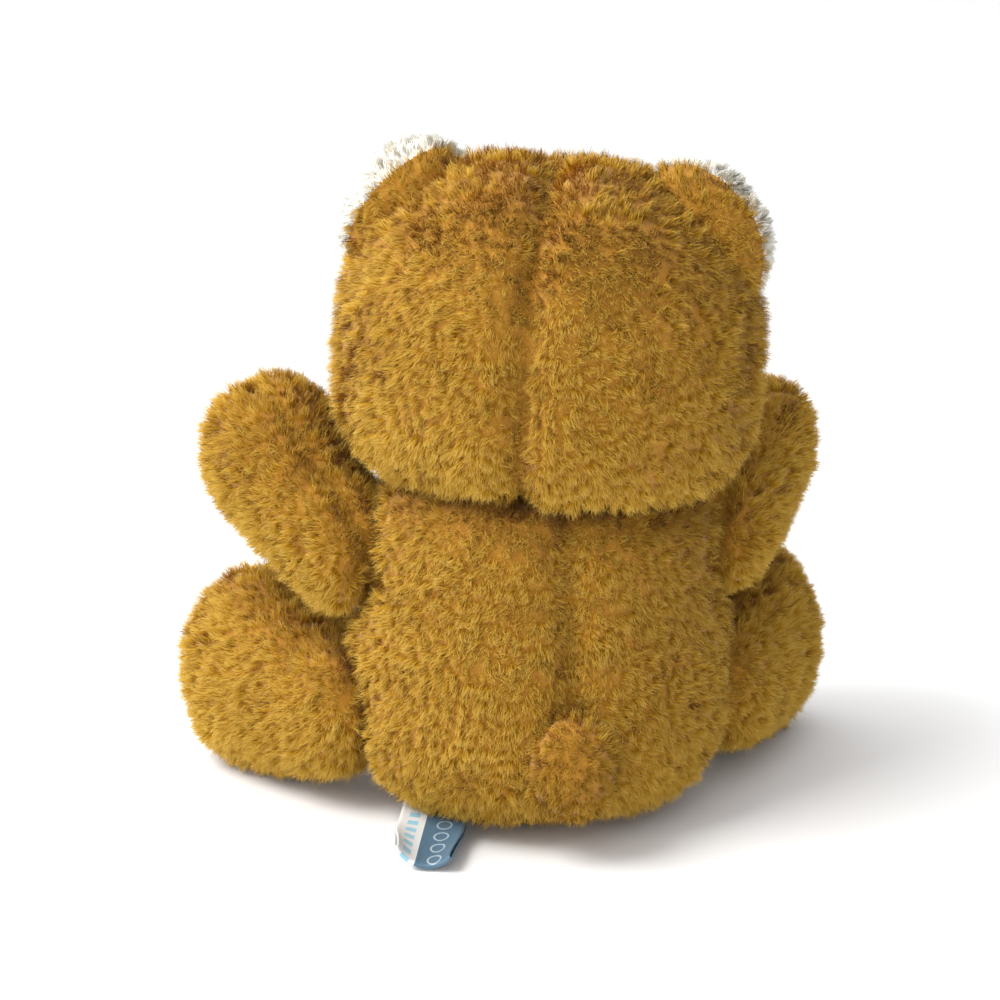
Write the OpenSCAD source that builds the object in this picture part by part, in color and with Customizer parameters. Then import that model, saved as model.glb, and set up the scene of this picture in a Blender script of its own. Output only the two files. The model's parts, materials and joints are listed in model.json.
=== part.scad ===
// Jointed teddy bear, sitting: plush head, two arms and two legs, each turning on its
// own disc joint in a plush torso.
//
// Frame: +Z up, the bear faces -Y, and its own left side is +X. The origin is on the
// floor, under the neck. Lengths are in millimetres.
//
// The plush solids stop where the pile is pressed down. Each plush piece is a shell
// around its own filling, and the loose pile stands a few millimetres further out.

/* [Torso] */
// Width across the hips
torso_w = 111; // [104:1:114]
// Depth from back to belly
torso_d = 94; // [88:1:98]
// Height of the neck above the floor
neck_z = 101; // [99:1:103]
// Half width at the shoulders
shoulder_half_w = 51.5; // [50:0.5:53]
// Radius of the hip roll
hip_roll_r = 36; // [34:1:38]
// Radius of the shoulder roll
shoulder_roll_r = 18; // [16:1:20]
// How far the torso's centre lies in front of the neck
torso_forward = 4; // [3:0.5:5]

/* [Head] */
// Width across the cheeks
head_w = 116; // [112:1:118]
// Depth from the back of the head to the face
head_d = 95; // [90:1:98]
// Height of the head
head_h = 89; // [86:1:94]
// Radius of the cheek roll
cheek_roll_r = 26; // [24:1:28]
// Radius of the crown roll
crown_roll_r = 46; // [42:1:47]
// How far the face is turned to the bear's right
head_turn = 20; // [0:1:30]
// How far the head leans to the bear's right
head_tilt = 3.5; // [0:0.5:4]

/* [Ears and face] */
// Width of an ear
ear_w = 44; // [40:1:46]
// Height of an ear's full outline, the part inside the head included
ear_h = 37; // [34:1:39]
// Thickness of an ear
ear_t = 24; // [20:1:26]
// Lean of an ear away from upright
ear_lean = 53; // [48:1:56]
// Width of the muzzle
muzzle_w = 46; // [44:1:48]
// Depth of the muzzle's egg, the part inside the head included
muzzle_d = 34; // [32:1:36]
// Height of the muzzle
muzzle_h = 32; // [30:1:34]
// Diameter of an eye
eye_d = 11; // [9:0.5:12]
// Width of the nose
nose_w = 14; // [12:0.5:15]
// Depth of the nose
nose_d = 8; // [7:0.5:8]
// Height of the nose
nose_h = 10; // [9:0.5:11]

/* [Arms] */
// Length from the shoulder's centre to the paw's centre
arm_l = 36; // [34:1:38]
// Radius at the shoulder
arm_r = 18; // [17:0.5:19]
// Radius at the paw
paw_r = 23; // [22:0.5:24]
// Lift of the left arm above level
left_arm_lift = 42; // [30:1:45]
// Lift of the right arm above level
right_arm_lift = 30; // [28:1:45]
// Spread of the arm out from the body
arm_splay = 26; // [24:1:28]
// Height of the shoulder joint
shoulder_z = 81; // [79:0.5:83]

/* [Legs] */
// Length from the hip's centre to the foot's centre
leg_l = 36; // [34:1:38]
// Radius at the hip
leg_r = 21; // [20:0.5:22]
// Radius at the foot
foot_r = 31; // [29:0.5:32]
// Spread of the leg out from the body
leg_splay = 25; // [24:1:27]
// Height of the hip joint
hip_z = 30.2; // [30:0.1:30.5]

/* [Joints] */
// Radius of a joint's stem
stem_r = 3; // [2.5:0.1:3.5]
// Running clearance round a stem
stem_clear = 0.05; // [0.03:0.01:0.08]
// Radius of a shoulder disc and washer
shoulder_disc_r = 10.5; // [9:0.5:11]
// Radius of a hip disc and washer
hip_disc_r = 12; // [11:0.5:13]
// Radius of the neck disc and washer
neck_disc_r = 20; // [16:0.5:22]

/* [Hidden] */
$fn = 120;

plush = [0.74, 0.54, 0.24];
cream = [0.95, 0.92, 0.85];
filling = [0.93, 0.93, 0.91];
plastic = [0.88, 0.88, 0.84];
black = [0.07, 0.06, 0.06];

big = 400;               // larger than the bear, for half spaces
skin = 3;                // plush thickness with its pile pressed down
wall = 2;                // plush thickness where a joint clamps it
rest_gap = 0.3;          // air between a shell and what it holds
neck_gap = 0.8;          // air between the torso's top and the head's underside
face_gap = 0.4;          // air between a limb's flat face and its seat on the torso
disc_t = 2;              // thickness of a joint disc
washer_t = 1.6;          // thickness of a flat washer
lock_t = 2;              // thickness of a locking washer
play = 0.15;             // air between neighbouring joint pieces along the axis
lock_bite = 0.05;        // how far a locking washer bites into its stem
lock_r = 6.5;            // outer radius of a locking washer
stem_tail = 1.5;         // how far a stem stands out of its locking washer

torso_top = neck_z;
head_bottom = neck_z + neck_gap;
head_top = head_bottom + head_h;

// Joint centres on the bear's left, on the torso's side of each joint
shoulder = [shoulder_half_w - 4.5, -9, shoulder_z];
hip = [torso_w / 2 - 6.5, -15, hip_z];
shoulder_seat_r = 15;
hip_seat_r = 17;
seat_h = 9;              // depth of the dish that a seat cuts in the torso
seat_flare = 15;         // how much wider the dish is at its mouth
seat_rim = 1;            // plush beyond a seat's edge, behind the dish
seat_mouth_rim = 3;      // and round the dish's mouth
arm_flat = 0.76;         // an arm's width over its height
leg_flat = 0.74;         // a leg's width over its height
arm_out = 11.3;          // how far an arm's middle line starts out from its seat
leg_out = 12;            // and a leg's
paw_cut = 15;            // distance from a paw's centre to its flat pad
sole_cut = 17;           // distance from a foot's centre to its flat sole
paw_tilt = 25;           // a paw pad faces this much below the arm's own line
pad_t = 2.5;             // thickness of a pad or sole

// ---------------------------------------------------------------- general shapes

// An ellipsoid with the half sizes given
module egg(half) {
    scale(half / 10)
        sphere(10);
}

// Half of the outline of a turned form: two corner circles joined by their tangent
module turned_outline(c1, r1, c2, r2) {
    d = c2 - c1;
    a = atan2(d.y, d.x) - acos((r1 - r2) / norm(d));
    n = [cos(a), sin(a)];
    intersection() {
        translate([0, -big])
            square(2 * big);
        union() {
            translate(c1)
                circle(r1);
            translate(c2)
                circle(r2);
            polygon([
                [0, c1.y - r1], [c1.x, c1.y - r1], c1 + r1 * n,
                c2 + r2 * n, [c2.x, c2.y + r2], [0, c2.y + r2],
            ]);
        }
    }
}

module turned(c1, r1, c2, r2) {
    rotate_extrude()
        turned_outline(c1, r1, c2, r2);
}

// Everything on the +X side of x = at
module beyond_x(at) {
    translate([at, -big, -big])
        cube(2 * big);
}

module beyond_y(at) {
    translate([-big, at, -big])
        cube(2 * big);
}

module above(z) {
    translate([-big, -big, z])
        cube(2 * big);
}

// A cylinder along +X from x = x0 to x = x1
module rod_x(x0, x1, r) {
    translate([x0, 0, 0])
        rotate([0, 90, 0])
            cylinder(h = x1 - x0, r = r);
}

module on_side(side) {
    if (side < 0)
        mirror([1, 0, 0])
            children();
    else
        children();
}

// A shape that is alike on both sides of x = 0, made as two mirrored halves
module both_halves() {
    for (side = [1, -1])
        on_side(side)
            intersection() {
                children();
                beyond_x(0);
            }
}

// ---------------------------------------------------------------- joint hardware
// In a joint's own frame the seat on the torso is x = 0 and +X points into the limb.

disc_x = face_gap + wall + play;
washer_x = -wall - play - washer_t;
lock_x = washer_x - play - lock_t;
stem_end_x = lock_x - stem_tail;

module joint_disc(r) {
    color(plastic) {
        rod_x(disc_x, disc_x + disc_t, r);
        rod_x(stem_end_x, disc_x + disc_t, stem_r);
    }
}

module flat_washer(r) {
    color(plastic)
        difference() {
            rod_x(washer_x, washer_x + washer_t, r);
            rod_x(washer_x - 1, washer_x + washer_t + 1, stem_r + stem_clear);
        }
}

module lock_washer() {
    color("silver")
        difference() {
            rod_x(lock_x, lock_x + lock_t, lock_r);
            rod_x(lock_x - 1, lock_x + lock_t + 1, stem_r - lock_bite);
        }
}

// The shallow dish in the torso where a limb's flat face turns
module seat(r) {
    rotate([0, 90, 0])
        cylinder(h = seat_h, r1 = r, r2 = r + seat_flare);
}

// What stays solid behind a seat, so that the torso's plush lines the dish
module seat_lining(r, more = 0) {
    translate([-wall - more, 0, 0])
        rotate([0, 90, 0])
            cylinder(
                h = seat_h + wall + more,
                r1 = r + seat_rim + more,
                r2 = r + seat_flare + seat_mouth_rim + more
            );
}

// Room in the torso's shell and filling for the washers and the stem's end
module washer_room(r) {
    rod_x(washer_x - rest_gap, -wall, r + rest_gap);
    rod_x(stem_end_x - rest_gap, washer_x, lock_r + rest_gap);
}

module stem_hole() {
    rod_x(stem_end_x - 1, disc_x + 1, stem_r + stem_clear);
}

// Room in a limb's shell and filling for its disc
module disc_room(r) {
    rod_x(face_gap + wall, disc_x + disc_t + rest_gap, r + rest_gap);
}

module at_shoulder(side) {
    on_side(side)
        translate(shoulder)
            children();
}

module at_hip(side) {
    on_side(side)
        translate(hip)
            children();
}

// The neck's joint frame: its +X is the bear's +Z, into the head
module at_neck() {
    translate([0, 0, torso_top])
        rotate([0, -90, 0])
            children();
}

// ---------------------------------------------------------------- torso

// Makes a round torso oval and sets it in its place
module torso_oval() {
    translate([0, -torso_forward, 0])
        scale([1, torso_d / torso_w, 1])
            children();
}

module torso_round(inset = 0) {
    half = torso_w / 2;
    turned(
        [half - hip_roll_r, hip_roll_r], hip_roll_r - inset,
        [shoulder_half_w - shoulder_roll_r, torso_top - shoulder_roll_r], shoulder_roll_r - inset
    );
}

module torso_form(inset = 0) {
    torso_oval()
        torso_round(inset);
}

// The torso's outside with the four dishes in it
module torso_outside() {
    difference() {
        torso_form();
        for (side = [1, -1]) {
            at_shoulder(side)
                seat(shoulder_seat_r);
            at_hip(side)
                seat(hip_seat_r);
        }
    }
}

module torso_shell() {
    difference() {
        torso_outside();
        difference() {
            torso_form(skin);
            for (side = [1, -1]) {
                at_shoulder(side)
                    seat_lining(shoulder_seat_r);
                at_hip(side)
                    seat_lining(hip_seat_r);
            }
        }
        for (side = [1, -1]) {
            at_shoulder(side) {
                washer_room(shoulder_disc_r);
                stem_hole();
            }
            at_hip(side) {
                washer_room(hip_disc_r);
                stem_hole();
            }
        }
        at_neck() {
            washer_room(neck_disc_r);
            stem_hole();
        }
    }
}

side_seam_y = -torso_forward - 12;   // the side seams run here, in front of the middle
seat_panel_z = 6;                    // height of the seam round the seat
seat_press = 0.2;                    // how far the bear's weight flattens its seat

module torso_back() {
    intersection() {
        torso_shell();
        above(seat_panel_z);
        beyond_y(side_seam_y);
    }
}

module body_back_left() {
    color(plush)
        intersection() {
            torso_back();
            beyond_x(0);
        }
}

module body_back_right() {
    color(plush)
        difference() {
            torso_back();
            beyond_x(0);
        }
}

module body_front() {
    color(plush)
        difference() {
            intersection() {
                torso_shell();
                above(seat_panel_z);
            }
            beyond_y(side_seam_y);
        }
}

// The seat is pressed flat on the floor. Its two halves meet on a line across it, in
// front of the origin.
module seat_panel() {
    color(plush)
        intersection() {
            translate([0, 0, -seat_press])
                torso_oval()
                    rotate([0, 0, 90])
                        both_halves()
                            difference() {
                                torso_round();
                                torso_round(skin);
                                above(seat_panel_z + seat_press);
                            }
            above(0);
        }
}

pellet_half = [30, 26, 9];           // half width, depth and height of the pellet bag
pellet_z = 15;

module body_stuffing() {
    color(filling)
        difference() {
            torso_form(skin + rest_gap);
            for (side = [1, -1]) {
                at_shoulder(side) {
                    seat_lining(shoulder_seat_r, rest_gap);
                    washer_room(shoulder_disc_r);
                }
                at_hip(side) {
                    seat_lining(hip_seat_r, rest_gap);
                    washer_room(hip_disc_r);
                }
            }
            at_neck()
                washer_room(neck_disc_r);
            translate([0, -torso_forward, pellet_z])
                egg(pellet_half + [rest_gap, rest_gap, rest_gap]);
        }
}

module pellet_bag() {
    color("ivory")
        translate([0, -torso_forward, pellet_z])
            egg(pellet_half);
}

// The tail is a stuffed bob, a little taller than wide, that leans down. Its base is
// hollowed to sit on the round back.
tail_out = 2.2;                      // from the torso's back to the tail's middle
tail_at = [0, torso_d / 2 - torso_forward + tail_out, 28];
tail_r = 15;                         // half the tail's height
tail_oval = [0.83, 0.8, 1];
tail_droop = 10;
tail_hollow_r = 28;
tail_base = 2.5;                     // from the tail's middle to its base

module tail() {
    color(plush)
        translate(tail_at)
            rotate([-tail_droop, 0, 0])
                scale(tail_oval)
                    both_halves()
                        difference() {
                            sphere(tail_r);
                            translate([0, -tail_base - tail_hollow_r, 0])
                                rod_x(-2 * tail_r, 2 * tail_r, tail_hollow_r);
                        }
}

// The label is a woven strip folded in two, sewn into the seat's seam behind the left
// leg. It slopes down and lies with its fold on the floor.
label_w = 20;
label_l = 38;                        // from the seam to the fold, the sewn end included
label_t = 0.5;
label_gap = 1.4;                     // between the strip's two layers
label_at = [31, 12, 6.5];
label_turn = -18;
label_slope = 8;

module label_side_view() {
    outer_r = label_gap / 2 + label_t;
    difference() {
        union() {
            translate([0, -outer_r])
                square([label_l - outer_r, 2 * outer_r]);
            translate([label_l - outer_r, 0])
                circle(outer_r);
        }
        translate([-1, -label_gap / 2])
            square([label_l - outer_r + 1, label_gap]);
        translate([label_l - outer_r, 0])
            circle(label_gap / 2);
    }
}

module label_loop() {
    color("steelblue")
        difference() {
            translate(label_at)
                rotate([0, 0, label_turn])
                    rotate([-label_slope, 0, 0])
                        translate([-label_w / 2, 0, 0])
                            rotate([90, 0, 90])
                                linear_extrude(label_w)
                                    label_side_view();
            torso_form(-play);
        }
}

// ---------------------------------------------------------------- head

// The head's own frame: it turns about the neck and leans over it
module at_head() {
    translate([0, 0, neck_z])
        rotate([0, -head_tilt, 0])
            rotate([0, 0, -head_turn])
                translate([0, 0, -neck_z])
                    children();
}

module head_form(inset = 0, meridian = 0) {
    half = head_w / 2;
    scale([1, head_d / head_w, 1])
        rotate([0, 0, meridian])
            turned(
                [half - cheek_roll_r, head_bottom + cheek_roll_r], cheek_roll_r - inset,
                [half - crown_roll_r, head_top - crown_roll_r], crown_roll_r - inset
            );
}

face_y = -head_d / 2;                // the front of the head
muzzle_size = [muzzle_w, muzzle_d, muzzle_h];
nose_size = [nose_w, nose_d, nose_h];
face_seam_y = -8;                    // the head's side seams run here
eye_at = [20, 0, head_bottom + 48];
nose_z = head_bottom + 36;
muzzle_at = [0, face_y + 2, head_bottom + 28];
nose_y = muzzle_at.y - muzzle_d / 2 + 2.4;
ear_at = [40, 6, head_top - 16];
ear_seam_gap = 0.05;                 // between an ear's back and its lining
ear_back_lean = 4;                   // an ear's top leans back by this angle
trim_stem_r = 1.6;                   // the hole for the stem of an eye or the nose
eye_stem_in = 3.5;                   // how far an eye's stem stands inside the face
trim_washer_t = 1.2;
eye_washer_r = 5;
nose_washer_r = 6;
washer_margin = 0.4;                 // room round a trim washer in the filling
eye_surface = 0.935;                 // the face at an eye, as a share of the half depth
eye_angle = 16;                      // an eye looks this far out to the side
eye_dome = 4;                        // how far an eye bulges

module eye_place(side) {
    on_side(side)
        translate([eye_at.x, face_y * eye_surface, eye_at.z])
            rotate([0, 0, eye_angle])
                rotate([90, 0, 0])
                    children();
}

// Holes for the stems, longer than the plush is thick
module eye_hole() {
    translate([0, 0, -2 * skin])
        cylinder(h = 4 * skin, r = trim_stem_r);
}

module nose_hole() {
    translate([0, 0, nose_z])
        rotate([90, 0, 0])
            cylinder(h = -face_y + muzzle_d, r = trim_stem_r);
}

// The head's form, cut level over the neck
module head_solid(inset = 0) {
    intersection() {
        at_head()
            head_form(inset);
        above(head_bottom + (inset > 0 ? wall + inset - skin : 0));
    }
}

module head_shell() {
    difference() {
        head_solid();
        head_solid(skin);
        at_neck() {
            disc_room(neck_disc_r);
            stem_hole();
        }
        at_head() {
            for (side = [1, -1])
                eye_place(side)
                    eye_hole();
            nose_hole();
        }
    }
}

module head_back() {
    intersection() {
        head_shell();
        at_head()
            beyond_y(face_seam_y);
    }
}

module head_back_left() {
    color(plush)
        intersection() {
            head_back();
            at_head()
                beyond_x(0);
        }
}

module head_back_right() {
    color(plush)
        difference() {
            head_back();
            at_head()
                beyond_x(0);
        }
}

module face_panel() {
    color(plush)
        difference() {
            head_shell();
            at_head()
                beyond_y(face_seam_y);
        }
}

// Room in the filling for a washer and its stem, open to the face
module eye_washer_room() {
    translate([0, 0, -skin - eye_stem_in - 0.5])
        cylinder(h = skin + eye_stem_in + 0.5, r = eye_washer_r + washer_margin);
}

nose_washer_y = face_y + 4;
nose_stem_in = 2.5;                  // how far the nose's stem stands past its washer

module nose_washer_room() {
    translate([0, face_y, nose_z])
        rotate([-90, 0, 0])
            cylinder(h = nose_washer_y - face_y + nose_stem_in + 1.5, r = nose_washer_r + washer_margin);
}

// The filling starts above the neck's disc, clear of it at every lean of the head
head_filling_z = torso_top + disc_x + disc_t + rest_gap + neck_disc_r * tan(head_tilt);

module head_stuffing() {
    color(filling)
        at_head()
            difference() {
                both_halves()
                    intersection() {
                        head_form(skin + rest_gap);
                        above(head_filling_z);
                    }
                for (side = [1, -1])
                    eye_place(side)
                        eye_washer_room();
                nose_washer_room();
            }
}

module muzzle_form(grow = 0) {
    translate(muzzle_at)
        egg(muzzle_size / 2 + [grow, grow, grow]);
}

module muzzle() {
    color(cream)
        at_head()
            difference() {
                muzzle_form();
                head_form(-play);
                nose_hole();
            }
}

module ear_place() {
    translate(ear_at)
        rotate([-ear_back_lean, ear_lean, 0])
            children();
}

// An ear's full outline: a thick, puffy oval that hugs the head's upper corner
module ear_form() {
    ear_place()
        scale([ear_w, ear_t, ear_h] / 20)
            both_halves()
                rotate([90, 0, 0])
                    sphere(10);
}

// An ear's furry back and its lining meet at its middle plane
module ear_back() {
    difference() {
        ear_form();
        head_form(-play, 180);
        ear_place()
            mirror([0, 1, 0])
                beyond_y(0);
    }
}

module ear_lining() {
    difference() {
        ear_form();
        head_form(-play, 180);
        ear_place()
            beyond_y(-ear_seam_gap);
    }
}

module left_ear_back() {
    color(plush)
        at_head()
            ear_back();
}

module right_ear_back() {
    color(plush)
        at_head()
            mirror([1, 0, 0])
                ear_back();
}

module left_ear_lining() {
    color(cream)
        at_head()
            ear_lining();
}

module right_ear_lining() {
    color(cream)
        at_head()
            mirror([1, 0, 0])
                ear_lining();
}

module eye(side) {
    color(black)
        at_head()
            eye_place(side) {
                translate([0, 0, play])
                    difference() {
                        egg([eye_d / 2, eye_d / 2, eye_dome]);
                        translate([0, 0, -big])
                            cylinder(h = big, r = eye_d);
                    }
                translate([0, 0, -skin - eye_stem_in])
                    cylinder(h = skin + eye_stem_in + eye_dome / 2, r = trim_stem_r - stem_clear);
            }
}

module left_eye() {
    eye(1);
}

module right_eye() {
    eye(-1);
}

module trim_washer(r) {
    difference() {
        cylinder(h = trim_washer_t, r = r);
        translate([0, 0, -1])
            cylinder(h = trim_washer_t + 2, r = trim_stem_r - stem_clear - lock_bite);
    }
}

module eye_washers() {
    color(plastic)
        at_head()
            for (side = [1, -1])
                eye_place(side)
                    translate([0, 0, -skin - 2])
                        trim_washer(eye_washer_r);
}

module nose() {
    color(black)
        at_head() {
            difference() {
                translate([0, nose_y, nose_z])
                    egg(nose_size / 2);
                muzzle_form(play);
            }
            translate([0, nose_washer_y + nose_stem_in, nose_z])
                rotate([90, 0, 0])
                    cylinder(h = nose_washer_y + nose_stem_in - nose_y, r = trim_stem_r - stem_clear);
        }
}

module nose_washer() {
    color(plastic)
        at_head()
            translate([0, nose_washer_y, nose_z])
                rotate([-90, 0, 0])
                    trim_washer(nose_washer_r);
}

mouth_line = 1.4;                    // width of the stitched line
stitch_low = 0.1;                    // the stitches lie between these heights over the muzzle
stitch_high = 0.9;
smile_r = 6;
smile_drop = 13;                     // from the nose's middle to the ends of the smile

// Seen from the front: a line down from the nose and two curves under it
module mouth_outline() {
    translate([-mouth_line / 2, -smile_drop])
        square([mouth_line, smile_drop - nose_size.z / 2 - 0.3]);
    for (side = [1, -1])
        translate([side * smile_r, -smile_drop])
            difference() {
                circle(smile_r + mouth_line / 2);
                circle(smile_r - mouth_line / 2);
                translate([-big, 0])
                    square(2 * big);
            }
}

module mouth_stitch() {
    color(black)
        at_head()
            intersection() {
                difference() {
                    muzzle_form(stitch_high);
                    muzzle_form(stitch_low);
                }
                translate([0, muzzle_at.y - 3, nose_z])
                    rotate([90, 0, 0])
                        linear_extrude(40)
                            mouth_outline();
            }
}

// The neck's disc turns with the head, and its flat washer stays with the torso
module neck_disc() {
    at_neck()
        joint_disc(neck_disc_r);
}

module neck_washer() {
    at_neck()
        flat_washer(neck_disc_r);
}

module neck_lock_washer() {
    at_neck()
        lock_washer();
}

// ---------------------------------------------------------------- limbs
// A limb is drawn on the bear's left, level and pointing forward, in its joint's frame.

// The limb's own line: -Y along the limb, its middle in the plane x = 0
module along_limb(out, splay) {
    translate([out, 0, 0])
        rotate([0, 0, splay])
            children();
}

module limb_round(l, r1, r2, inset = 0) {
    rotate([90, 0, 0])
        turned([0, 0], r1 - inset, [0, l], r2 - inset);
}

module limb_form(l, r1, r2, flat, inset) {
    scale([flat, 1, 1])
        limb_round(l, r1, r2, inset);
}

// Everything past a limb's pad, which faces forward and tilts down
module past_pad(l, cut, tilt, at) {
    translate([0, -l, 0])
        rotate([tilt, 0, 0])
            mirror([0, 1, 0])
                beyond_y(cut + at);
}

module arm_form(inset = 0) {
    intersection() {
        along_limb(arm_out, arm_splay)
            difference() {
                limb_form(arm_l, arm_r, paw_r, arm_flat, inset);
                past_pad(arm_l, paw_cut, paw_tilt, -inset);
            }
        beyond_x(face_gap + (inset > 0 ? wall + inset - skin : 0));
    }
}

module leg_form(inset = 0) {
    intersection() {
        along_limb(leg_out, leg_splay)
            difference() {
                limb_form(leg_l, leg_r, foot_r, leg_flat, inset);
                past_pad(leg_l, sole_cut, 0, -inset);
            }
        beyond_x(face_gap + (inset > 0 ? wall + inset - skin : 0));
        above(inset - hip_z);
    }
}

module arm_shell() {
    difference() {
        arm_form();
        arm_form(skin);
        disc_room(shoulder_disc_r);
        stem_hole();
    }
}

module leg_shell() {
    difference() {
        leg_form();
        leg_form(skin);
        disc_room(hip_disc_r);
        stem_hole();
    }
}

// The seam between a limb's inner and outer panels runs along its middle
module outside_seam(out, splay) {
    along_limb(out, splay)
        beyond_x(0);
}

module place_arm(side) {
    at_shoulder(side)
        rotate([side > 0 ? -left_arm_lift : -right_arm_lift, 0, 0])
            children();
}

module arm_inner(side) {
    color(plush)
        place_arm(side)
            difference() {
                arm_shell();
                outside_seam(arm_out, arm_splay);
            }
}

module arm_outer(side) {
    color(plush)
        place_arm(side)
            intersection() {
                arm_shell();
                outside_seam(arm_out, arm_splay);
            }
}

// A pad is a slice of the limb's own round end, sewn on where the end is cut flat
module pad(l, r, flat, cut, tilt) {
    color(cream)
        scale([flat, 1, 1])
            difference() {
                intersection() {
                    translate([0, -l, 0])
                        sphere(r);
                    past_pad(l, cut, tilt, play);
                }
                past_pad(l, cut, tilt, play + pad_t);
            }
}

module paw_pad(side) {
    place_arm(side)
        along_limb(arm_out, arm_splay)
            pad(arm_l, paw_r, arm_flat, paw_cut, paw_tilt);
}

// Filling starts behind the joint's disc
filling_x = disc_x + disc_t + rest_gap;

module arm_stuffing(side) {
    color(filling)
        place_arm(side)
            intersection() {
                arm_form(skin + rest_gap);
                beyond_x(filling_x);
            }
}

module leg_inner(side) {
    color(plush)
        at_hip(side)
            difference() {
                leg_shell();
                outside_seam(leg_out, leg_splay);
            }
}

module leg_outer(side) {
    color(plush)
        at_hip(side)
            intersection() {
                leg_shell();
                outside_seam(leg_out, leg_splay);
            }
}

module foot_sole(side) {
    at_hip(side)
        along_limb(leg_out, leg_splay)
            pad(leg_l, foot_r, leg_flat, sole_cut, 0);
}

module leg_stuffing(side) {
    color(filling)
        at_hip(side)
            intersection() {
                leg_form(skin + rest_gap);
                beyond_x(filling_x);
            }
}

body_back_left();
body_back_right();
body_front();
seat_panel();
body_stuffing();
pellet_bag();
tail();
label_loop();
head_back_left();
head_back_right();
face_panel();
head_stuffing();
muzzle();
left_ear_back();
right_ear_back();
left_ear_lining();
right_ear_lining();
left_eye();
right_eye();
eye_washers();
nose();
nose_washer();
mouth_stitch();
neck_disc();
neck_washer();
neck_lock_washer();
arm_inner(1);  // left_arm_inner
arm_outer(1);  // left_arm_outer
paw_pad(1);  // left_paw_pad
arm_stuffing(1);  // left_arm_stuffing
at_shoulder(1) joint_disc(shoulder_disc_r);  // left_shoulder_disc
at_shoulder(1) flat_washer(shoulder_disc_r);  // left_shoulder_washer
at_shoulder(1) lock_washer();  // left_shoulder_lock_washer
arm_inner(-1);  // right_arm_inner
arm_outer(-1);  // right_arm_outer
paw_pad(-1);  // right_paw_pad
arm_stuffing(-1);  // right_arm_stuffing
at_shoulder(-1) joint_disc(shoulder_disc_r);  // right_shoulder_disc
at_shoulder(-1) flat_washer(shoulder_disc_r);  // right_shoulder_washer
at_shoulder(-1) lock_washer();  // right_shoulder_lock_washer
leg_inner(1);  // left_leg_inner
leg_outer(1);  // left_leg_outer
foot_sole(1);  // left_foot_sole
leg_stuffing(1);  // left_leg_stuffing
at_hip(1) joint_disc(hip_disc_r);  // left_hip_disc
at_hip(1) flat_washer(hip_disc_r);  // left_hip_washer
at_hip(1) lock_washer();  // left_hip_lock_washer
leg_inner(-1);  // right_leg_inner
leg_outer(-1);  // right_leg_outer
foot_sole(-1);  // right_foot_sole
leg_stuffing(-1);  // right_leg_stuffing
at_hip(-1) joint_disc(hip_disc_r);  // right_hip_disc
at_hip(-1) flat_washer(hip_disc_r);  // right_hip_washer
at_hip(-1) lock_washer();  // right_hip_lock_washer
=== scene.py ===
"""The looks of a sitting, jointed teddy bear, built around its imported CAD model.

Every soft part is made the same way. Its CAD nodes are joined and remeshed into one closed
skin, a cloth simulation and the loft of the backing swell the skin between its seams, and
the pile is then grown on it as real tufts: tapered strands, gathered into clumps that lean
the way the pile is combed. Lengths are in metres, in the CAD frame: +Z up, the bear
faces -Y.
"""

import json
import math

import bmesh
import bpy
import numpy as np
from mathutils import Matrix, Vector
from mathutils.bvhtree import BVHTree


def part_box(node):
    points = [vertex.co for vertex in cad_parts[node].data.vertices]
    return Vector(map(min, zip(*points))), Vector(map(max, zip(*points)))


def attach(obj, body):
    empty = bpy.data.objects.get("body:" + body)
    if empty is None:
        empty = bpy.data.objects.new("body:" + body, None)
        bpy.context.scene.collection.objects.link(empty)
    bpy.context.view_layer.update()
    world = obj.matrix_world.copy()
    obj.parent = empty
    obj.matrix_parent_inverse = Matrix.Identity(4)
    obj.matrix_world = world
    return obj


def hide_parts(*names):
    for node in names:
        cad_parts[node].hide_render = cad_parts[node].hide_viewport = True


MM = 0.001
FAR = 30 * MM                # past this, a distance no longer matters

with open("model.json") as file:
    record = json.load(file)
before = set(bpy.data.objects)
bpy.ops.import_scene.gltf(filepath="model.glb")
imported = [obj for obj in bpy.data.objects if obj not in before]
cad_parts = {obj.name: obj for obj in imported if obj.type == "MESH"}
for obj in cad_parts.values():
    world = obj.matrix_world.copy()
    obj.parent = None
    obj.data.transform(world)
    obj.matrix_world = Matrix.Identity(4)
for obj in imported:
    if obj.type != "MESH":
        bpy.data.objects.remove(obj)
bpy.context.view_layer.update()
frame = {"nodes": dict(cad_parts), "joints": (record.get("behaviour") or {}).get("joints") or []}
nodes = frame["nodes"]
joints = {j["name"]: j for j in frame["joints"]}
scene = bpy.context.scene

NECK = np.array(joints["neck_turn"]["pos_m"])
TORSO_PANELS = ["body_back_left", "body_back_right", "body_front", "seat_panel"]
HEAD_PANELS = ["head_back_left", "head_back_right", "face_panel"]
DOWN = np.array([0.0, 0.0, -1.0])


# ------------------------------------------------------------------ small helpers

def node_mesh(name):
    """A CAD node's vertices and triangles."""
    mesh = nodes[name].data
    mesh.calc_loop_triangles()
    points = np.empty(len(mesh.vertices) * 3, np.float32)
    mesh.vertices.foreach_get("co", points)
    tris = np.empty(len(mesh.loop_triangles) * 3, np.int32)
    mesh.loop_triangles.foreach_get("vertices", tris)
    return points.reshape(-1, 3).astype(float), tris.reshape(-1, 3)


def joined(names):
    points, tris, start = [], [], 0
    for name in names:
        p, t = node_mesh(name)
        points.append(p)
        tris.append(t + start)
        start += len(p)
    return np.concatenate(points), np.concatenate(tris)


def tree_of(names):
    points, tris = joined(names)
    return BVHTree.FromPolygons([Vector(p) for p in points], tris.tolist())


def distances(points, tree, furthest=FAR):
    """How far each point is from the tree's surface, up to the furthest of interest."""
    found = (tree.find_nearest(Vector(p), furthest)[3] for p in points)
    return np.array([furthest if d is None else d for d in found])


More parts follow.
